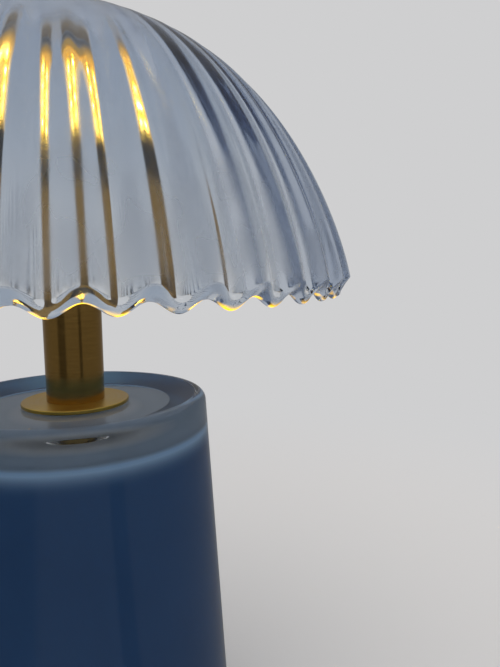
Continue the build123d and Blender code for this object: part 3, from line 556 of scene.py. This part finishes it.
# Base: a turned tumbler, foot up, with a shallow dish in its top. The cavity's faces carry the lacquer, and its roof
# stands a coat's thickness above the washer. The flash goes from some rows into the crest's round to some into the
# dish's.
low, high = (corner.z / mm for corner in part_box("glass_base"))
base = {"mouth": 43.0, "mouthRound": 1.2, "taper": 0.059, "wall": 4.0, "shoulder": 2.5, "lip": 3.2, "crest": 1.2,
        "recess": 26.5, "dish": 2.0, "floor": high - 2.6, "roof": 7.7, "hole": 5.6, "holeRound": 0.1,
        "cavityRound": 5.0, "coat": 0.06, "bareMouth": 0.8, "bottom": low, "top": high, "sides": 192, "steps": 8,
        "flashFrom": 2, "flashTo": 5}
topRadius = base["mouth"] - base["taper"] * (base["top"] - base["bottom"])
cavityTop = base["floor"] - base["roof"] + base["coat"]
cavityRadius = base["mouth"] - base["taper"] * (cavityTop - base["bottom"]) - base["wall"]
baseCorners = [
    (base["mouth"], base["bottom"], base["mouthRound"]),
    (topRadius, base["top"], base["shoulder"]),
    (topRadius - base["lip"], base["top"], base["crest"]),
    (base["recess"], base["floor"], base["dish"]),
    (base["hole"], base["floor"], base["holeRound"]),
    (base["hole"], cavityTop, base["holeRound"]),
    (cavityRadius, cavityTop, base["cavityRound"]),
    (base["mouth"] - base["wall"], base["bottom"], base["mouthRound"]),
]
perCorner = base["steps"] + 1
crestRow, dishRow, cavityRow = (corner * perCorner for corner in (2, 3, 6))  # By the corners' order above
baseRow = np.arange(len(baseCorners) * perCorner)
recessWall = (baseRow >= crestRow + base["flashFrom"]) & (baseRow < dishRow + base["flashTo"])


# Faces that start at the hole's lower end or later, short of the mouth, are the cavity's
def cavityFaces(profile):
    return ((baseRow >= cavityRow - 1) & (profile[:, 1] > base["bottom"] + base["bareMouth"])).astype(int)


basePiece = turnedObject("glass_base_cased", baseCorners, [casingGlass, blueLacquer], count=base["sides"],
                         steps=base["steps"], slotOf=cavityFaces, values={"flashed": recessWall})
place(basePiece, "lamp", "glass_base")
print("base made")


# Stem and flange: cut tube and turned disc with broken edges
low, high = (corner.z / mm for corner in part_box("stem_tube"))
stem = {"radius": 8.0, "wall": 1.0, "edge": 0.25, "foot": 0.05}
stemInner = stem["radius"] - stem["wall"]
stemPiece = turnedObject("brass_stem", [
    (stem["radius"], low, stem["foot"]), (stem["radius"], high, stem["edge"]),
    (stemInner, high, stem["edge"]), (stemInner, low, stem["foot"])], [brass])
place(stemPiece, "lamp", "stem_tube")
low, high = (corner.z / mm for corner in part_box("flange"))
flange = {"radius": 14.8, "hole": 5.6, "edge": 0.3, "foot": 0.08, "bore": 0.05}
flangePiece = turnedObject("brass_flange", [
    (flange["radius"], low, flange["foot"]), (flange["radius"], high, flange["edge"]),
    (flange["hole"], high, flange["bore"]), (flange["hole"], low, flange["bore"])], [paintedLightBrass], count=128)
place(flangePiece, "lamp", "flange")

# Light head: black holder, clear tube and the cap with its stud
low, high = (corner.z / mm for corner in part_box("led_holder"))
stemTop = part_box("stem_tube")[1].z / mm
tubeLow, tubeHigh = (corner.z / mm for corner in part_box("light_tube"))
holder = {"hole": 2.2, "plug": 6.95, "body": 7.9, "edge": 0.3, "foot": 0.2, "step": 0.1, "seat": 0.05, "rim": 0.15}
holderPiece = turnedObject("led_holder_black", [
    (holder["plug"], low, holder["foot"]), (holder["plug"], stemTop, holder["step"]),
    (holder["body"], stemTop, holder["step"]), (holder["body"], tubeLow, holder["edge"]),
    (holder["plug"], tubeLow, holder["seat"]), (holder["plug"], high, holder["rim"]),
    (holder["hole"], high, holder["rim"]), (holder["hole"], low, holder["rim"])], [finish["blackAnodised"]])
place(holderPiece, "lamp", "led_holder")
tube = {"radius": 8.0, "inner": 7.0, "edge": 0.15}
tubePiece = turnedObject("acrylic_tube", [
    (tube["radius"], tubeLow, tube["edge"]), (tube["radius"], tubeHigh, tube["edge"]),
    (tube["inner"], tubeHigh, tube["edge"]), (tube["inner"], tubeLow, tube["edge"])], [acrylic])
place(tubePiece, "lamp", "light_tube")
low, high = (corner.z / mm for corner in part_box("tube_cap"))
cap = {"spigot": 6.95, "rim": 8.6, "thickness": 2.2, "stud": 3.0, "edge": 0.4, "foot": 0.2, "step": 0.1, "root": 0.2,
       "tip": 0.4}
capTop = tubeHigh + cap["thickness"]
capPiece = turnedObject("brass_cap", [
    (0, low, 0), (cap["spigot"], low, cap["foot"]), (cap["spigot"], tubeHigh, cap["step"]),
    (cap["rim"], tubeHigh, cap["edge"]), (cap["rim"], capTop, cap["edge"]), (cap["stud"], capTop, cap["root"]),
    (cap["stud"], high, cap["tip"]), (0, high, 0)], [paintedGlowBrass], loop=False)
place(capPiece, "lamp", "tube_cap")

# Finial: base, neck and a rounded knob, bored for the stud
low, high = (corner.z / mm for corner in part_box("finial"))
knob = {"base": 7.0, "baseHeight": 1.8, "neck": 4.6, "neckHeight": 1.2, "radius": 6.2, "round": 3.4, "bore": 3.3,
        "boreTop": high - 3.8, "boreRound": 0.2, "foot": 0.15, "baseRound": 0.6, "neckRound": 0.35, "under": 1.1}
baseTop = low + knob["baseHeight"]
neckTop = baseTop + knob["neckHeight"]
finialPiece = turnedObject("brass_finial", [
    (0, knob["boreTop"], 0), (knob["bore"], knob["boreTop"], knob["boreRound"]), (knob["bore"], low, knob["boreRound"]),
    (knob["base"], low, knob["foot"]), (knob["base"], baseTop, knob["baseRound"]),
    (knob["neck"], baseTop, knob["neckRound"]), (knob["neck"], neckTop, knob["neckRound"]),
    (knob["radius"], neckTop, knob["under"]), (knob["radius"], high, knob["round"]), (0, high, 0)], [brass], loop=False)
place(finialPiece, "finial", "finial")
print("brass and light head made")

# Diodes: four rows on each of six faces, every one a rounded block
low, high = (corner.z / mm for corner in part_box("led_chips"))
led = {"rows": 4, "faces": 6, "width": 2.8, "height": 3.5, "thickness": 0.8, "square": 0.35, "place": 4.9,
       "core": 0.7, "stagger": 0.9, "turns": 24, "tilts": 13, "bottom": low, "top": high}


# Superellipsoid: cosines and sines of two angles, each raised to a power below one with its sign kept, times the half
# sizes. Turned to its face of the post and lifted to its row. The glow falls off as a bell curve from the bright die,
# which sits above the middle on every other face and below it on the rest.
def makeDiodes():
    turnAngle = np.arange(led["turns"])[None, :, None] * 2 * np.pi / led["turns"]
    tilt = np.linspace(-np.pi / 2, np.pi / 2, led["tilts"])[None, None, :]

    def soft(value):
        return np.sign(value) * np.abs(value) ** led["square"]

    wide = 0.5 * led["width"] * soft(np.cos(turnAngle)) * soft(np.cos(tilt))
    tall = 0.5 * led["height"] * soft(np.sin(turnAngle)) * soft(np.cos(tilt))
    out = 0.5 * led["thickness"] * soft(np.sin(tilt)) + 0 * turnAngle
    pitch = (led["top"] - led["bottom"] - led["height"]) / (led["rows"] - 1)
    facing = np.repeat(np.arange(led["faces"]) * 2 * np.pi / led["faces"], led["rows"])[:, None, None]
    lift = led["bottom"] + led["height"] / 2 + pitch * np.arange(led["rows"])
    lift = np.tile(lift, led["faces"])[:, None, None]
    reach = led["place"] + out
    points = np.stack([reach * np.cos(facing) - wide * np.sin(facing), reach * np.sin(facing) + wide * np.cos(facing),
                       tall + lift], -1)
    die = np.repeat(led["stagger"] * (-1.0) ** np.arange(led["faces"]), led["rows"])[:, None, None]
    glow = np.exp(-(wide ** 2 + (tall - die) ** 2) / led["core"] ** 2) * (out > 0)
    return points, glow


diodePoints, diodeGlow = makeDiodes()
diodePiece = gridObject("led_diodes", diodePoints, [phosphor], loop=False, values={"glow": diodeGlow})
place(diodePiece, "lamp", "led_chips")
print("diodes made:", len(diodePiece.data.polygons), "faces")


# Studio: a pale floor that runs out into a pale backdrop of the same tone
studio = {"pale": "#cfcfd0", "floor": "#d6d4d2", "floorRadius": 900.0, "floorRings": 25, "floorSpread": 1.5,
          "floorSides": 96, "floorDrop": 0.01, "floorRoughness": 0.7, "fade": (170.0, 420.0), "fillTone": "#fdfdff",
          "fill": 0.75, "room": (120.0, 165.0), "dim": 0.27, "behind": 0.4, "strips": ((-47.0, 19.0), (25.0, 7.0)),
          "stripCore": 0.6, "dark": 0.42, "rise": (0.45, 0.95), "ceiling": 0.6}


# Level of the room in a direction: dim on the camera's side and brighter behind the lamp, by the angle from the front,
# with two darker strips that stand upright in the stem
def roomLevel(tree, vector):
    toward = addNode(tree, "ShaderNodeSeparateXYZ", {0: vector})
    front = addNode(tree, "ShaderNodeMath", {0: toward.outputs["Y"], 1: -1.0}, operation="MULTIPLY")
    bearing = addNode(tree, "ShaderNodeMath", {0: toward.outputs["X"], 1: front.outputs[0]}, operation="ARCTAN2")
    away = addNode(tree, "ShaderNodeMath", {0: bearing.outputs[0]}, operation="ABSOLUTE")
    level = addNode(tree, "ShaderNodeMapRange", {
        "Value": away.outputs[0], **ends("From", np.radians(studio["room"])),
        **ends("To", (studio["dim"], studio["behind"]))}, interpolation_type="SMOOTHSTEP").outputs[0]
    for middle, width in studio["strips"]:
        aside = addNode(tree, "ShaderNodeMath", {0: bearing.outputs[0], 1: np.radians(middle)}, operation="SUBTRACT")
        aside = addNode(tree, "ShaderNodeMath", {0: aside.outputs[0]}, operation="ABSOLUTE")
        strip = addNode(tree, "ShaderNodeMapRange", {
            "Value": aside.outputs[0], **ends("From", np.radians((width * studio["stripCore"], width))),
            **ends("To", (studio["dark"], 1.0))}, interpolation_type="SMOOTHSTEP")
        level = addNode(tree, "ShaderNodeMath", {0: level, 1: strip.outputs[0]}, operation="MULTIPLY").outputs[0]
    return level, toward.outputs["Z"]


# Floor: shaded by the lamp near it and of the backdrop's tone farther off, while mirrors see the room's level in it
floorMaterial, tree, shader = newMaterial("paleFloor", {
    "Base Color": linear(studio["floor"]), "Roughness": studio["floorRoughness"]})
floorMaterial.cycles.emission_sampling = "NONE"
spot = addNode(tree, "ShaderNodeTexCoord").outputs["Object"]
reach = addNode(tree, "ShaderNodeVectorMath", {0: spot}, operation="LENGTH")
fade = addNode(tree, "ShaderNodeMapRange", {"Value": reach.outputs["Value"], **ends("From", studio["fade"], mm)},
               interpolation_type="SMOOTHSTEP")
rays = addNode(tree, "ShaderNodeLightPath")
sight = addNode(tree, "ShaderNodeMath", {0: 1.0, 1: rays.outputs["Is Transmission Ray"]}, operation="SUBTRACT")
sight = addNode(tree, "ShaderNodeMath", {0: sight.outputs[0], 1: rays.outputs["Is Glossy Ray"]}, operation="MULTIPLY")
mirrored = addNode(tree, "ShaderNodeEmission", {"Color": linear(studio["pale"]), "Strength": roomLevel(tree, spot)[0]})
far = addNode(tree, "ShaderNodeEmission", {"Color": linear(studio["pale"])})
both = addNode(tree, "ShaderNodeMixShader", {0: fade.outputs[0], 1: shader.outputs[0], 2: far.outputs[0]})
both = addNode(tree, "ShaderNodeMixShader", {0: sight.outputs[0], 1: both.outputs[0], 2: mirrored.outputs[0]})
tree.links.new(both.outputs[0], tree.nodes["Material Output"].inputs["Surface"])
rings = np.linspace(0, 1, studio["floorRings"]) ** studio["floorSpread"] * studio["floorRadius"]
floorProfile = np.stack([rings, 0 * rings - studio["floorDrop"]], 1)
floor = gridObject("floor", turned(floorProfile, studio["floorSides"]), [floorMaterial], loop=False)

# World: the backdrop is one pale tone to the camera and through glass. Polished faces mirror a dim room that is
# brighter behind the lamp and overhead. It isn't sampled as a lamp, so that each kind of ray meets its own level.
world = bpy.data.worlds.new("paleStudio")
world.use_nodes = True
world.cycles.sampling_method = "NONE"
scene.world = world
tree = world.node_tree
rays = addNode(tree, "ShaderNodeLightPath")
level, upward = roomLevel(tree, addNode(tree, "ShaderNodeTexCoord").outputs["Generated"])
above = addNode(tree, "ShaderNodeMapRange", {"Value": upward, **ends("From", studio["rise"])},
                interpolation_type="SMOOTHSTEP")
level = addNode(tree, "ShaderNodeMix", {0: above.outputs[0], 2: level, 3: studio["ceiling"]}).outputs[0]
direct = addNode(tree, "ShaderNodeMath", {0: rays.outputs["Is Camera Ray"], 1: rays.outputs["Is Transmission Ray"]},
                 operation="MAXIMUM").outputs[0]
level = addNode(tree, "ShaderNodeMix", {0: direct, 2: level, 3: 1.0}).outputs[0]
seen = addNode(tree, "ShaderNodeMath", {0: direct, 1: rays.outputs["Is Glossy Ray"]}, operation="MAXIMUM").outputs[0]
pale = addNode(tree, "ShaderNodeBackground", {"Color": linear(studio["pale"]), "Strength": level})
fill = addNode(tree, "ShaderNodeBackground", {"Color": linear(studio["fillTone"]), "Strength": studio["fill"]})
both = addNode(tree, "ShaderNodeMixShader", {0: seen, 1: fill.outputs[0], 2: pale.outputs[0]})
tree.links.new(both.outputs[0], tree.nodes["World Output"].inputs["Surface"])

# Soft boxes, both aimed at the lamp's middle: a key from the right and behind, and a broad one overhead. In metres.
lampAim = np.array((0, 0, 0.12))
lamps = {"key": {"at": (0.75, 0.25, 0.55), "size": 0.9, "power": 2.0},
         "overhead": {"at": (-0.1, -0.1, 1.0), "size": 1.0, "power": 1.6}}
for name, lamp in lamps.items():
    data = bpy.data.lights.new(name, "AREA")
    data.size, data.energy = lamp["size"], lamp["power"]
    light = bpy.data.objects.new(name, data)
    at = np.array(lamp["at"])
    back = (at - lampAim) / np.linalg.norm(at - lampAim)
    side = np.cross((0, 1, 0), back)
    side = side / np.linalg.norm(side)
    stand = np.stack([side, np.cross(back, side), back, at], 1)
    light.matrix_world = Matrix([*stand.tolist(), (0, 0, 0, 1)])
    light.visible_camera = light.visible_glossy = light.visible_transmission = False
    scene.collection.objects.link(light)
print("studio set")
